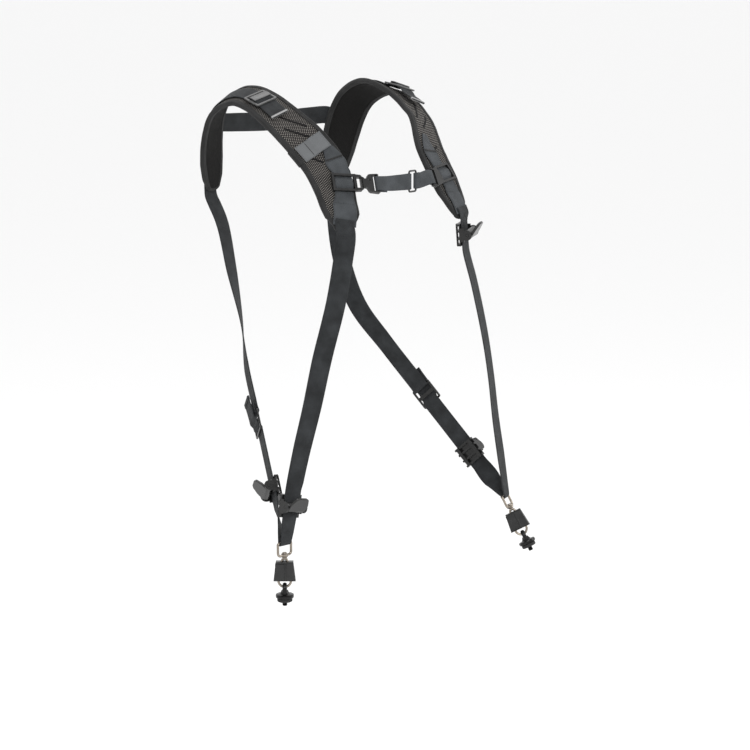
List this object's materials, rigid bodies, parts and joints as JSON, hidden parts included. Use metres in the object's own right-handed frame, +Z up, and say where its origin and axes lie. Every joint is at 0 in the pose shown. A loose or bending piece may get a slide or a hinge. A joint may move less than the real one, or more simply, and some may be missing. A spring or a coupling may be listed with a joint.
{
  "type": "dual camera harness",
  "caption": "Worn harness of padded shoulder straps with a chest buckle, whose webbing slings each carry a swivelling snap hook and a screw stud for a camera.",
  "frame": {"origin": "in the mid plane at shoulder height, midway between the pads where they lie on the shoulders", "axes": "+Z up, the wearer faces -Y, and the wearer's left is +X"},
  "size_m": [0.4162, 0.3106, 0.6352],
  "materials": {
    "pad_mesh": "dark spacer mesh",
    "edge_tape": "black woven tape",
    "pad_webbing": "dark grey woven webbing",
    "webbing": "black woven webbing",
    "label": "dark grey satin tape",
    "plastic": "black moulded plastic",
    "polished_metal": "polished nickel",
    "black_metal": "black anodised",
    "washer_rubber": "matt black"
  },
  "bodies": {
    "worn_harness": {"shoulder_pad_right": "pad_mesh", "pad_binding_right": "edge_tape", "pad_webbing_right": "pad_webbing", "sling_webbing_right": "webbing", "rear_webbing_right": "webbing", "lock_webbing_right": "webbing", "shoulder_lock_right": "plastic", "rear_adjuster_right": "plastic", "front_lock_base_right": "plastic", "rear_lock_base_right": "plastic", "shoulder_pad_left": "pad_mesh", "pad_binding_left": "edge_tape", "pad_webbing_left": "pad_webbing", "sling_webbing_left": "webbing", "rear_webbing_left": "webbing", "lock_webbing_left": "webbing", "shoulder_lock_left": "plastic", "rear_adjuster_left": "plastic", "front_lock_base_left": "plastic", "rear_lock_base_left": "plastic", "chest_buckle_socket": "plastic", "chest_buckle_plug": "plastic", "chest_slider": "plastic", "chest_ring": "plastic", "chest_webbing": "webbing", "chest_link_webbing": "webbing", "pad_label": "label", "back_link": "webbing"},
    "eye_right": {"swivel_eye_right": "polished_metal"},
    "hook_right": {"snap_hook_right": "polished_metal", "lock_cover_right": "plastic"},
    "stud_right": {"stud_fitting_right": "black_metal", "stud_washer_right": "washer_rubber"},
    "front_lever_right": {"front_lock_lever_right": "plastic"},
    "rear_lever_right": {"rear_lock_lever_right": "plastic"},
    "eye_left": {"swivel_eye_left": "polished_metal"},
    "hook_left": {"snap_hook_left": "polished_metal", "lock_cover_left": "plastic"},
    "stud_left": {"stud_fitting_left": "black_metal", "stud_washer_left": "washer_rubber"},
    "front_lever_left": {"front_lock_lever_left": "plastic"},
    "rear_lever_left": {"rear_lock_lever_left": "plastic"}
  },
  "joints": [
    {"name": "eye_swing_right", "type": "hinge", "parent": "worn_harness", "child": "eye_right", "pos_m": [-0.188, -0.108, -0.531], "axis": [0.9994, 0.0349, 0], "range_deg": [-30, 30]},
    {"name": "hook_swivel_right", "type": "hinge", "parent": "eye_right", "child": "hook_right", "pos_m": [-0.188, -0.108, -0.531], "axis": [0, 0, 1], "continuous": true},
    {"name": "stud_swing_right", "type": "hinge", "parent": "hook_right", "child": "stud_right", "pos_m": [-0.188, -0.108, -0.58825], "axis": [0.766, -0.6428, 0], "range_deg": [-45, 45]},
    {"name": "front_lever_right", "type": "hinge", "parent": "worn_harness", "child": "front_lever_right", "pos_m": [-0.17962, -0.11903, -0.48503], "axis": [0.9831, -0.0291, -0.1809], "range_deg": [0, 60]},
    {"name": "rear_lever_right", "type": "hinge", "parent": "worn_harness", "child": "rear_lever_right", "pos_m": [-0.17595, -0.05718, -0.47624], "axis": [-0.2968, -0.6665, 0.6838], "range_deg": [0, 60]},
    {"name": "eye_swing_left", "type": "hinge", "parent": "worn_harness", "child": "eye_left", "pos_m": [0.188, -0.108, -0.531], "axis": [0.8829, 0.4695, 0], "range_deg": [-20, 50]},
    {"name": "hook_swivel_left", "type": "hinge", "parent": "eye_left", "child": "hook_left", "pos_m": [0.188, -0.108, -0.531], "axis": [-0.2204, 0.4145, 0.8829], "continuous": true},
    {"name": "stud_swing_left", "type": "hinge", "parent": "hook_left", "child": "stud_left", "pos_m": [0.20062, -0.13173, -0.58155], "axis": [0.7151, -0.547, 0.4353], "range_deg": [-45, 45]},
    {"name": "front_lever_left", "type": "hinge", "parent": "worn_harness", "child": "front_lever_left", "pos_m": [0.10393, -0.12851, -0.16466], "axis": [0.8619, 0.4986, 0.0917], "range_deg": [0, 60]},
    {"name": "rear_lever_left", "type": "hinge", "parent": "worn_harness", "child": "rear_lever_left", "pos_m": [0.17595, -0.05718, -0.47624], "axis": [-0.2968, 0.6665, -0.6838], "range_deg": [0, 60]}
  ]
}
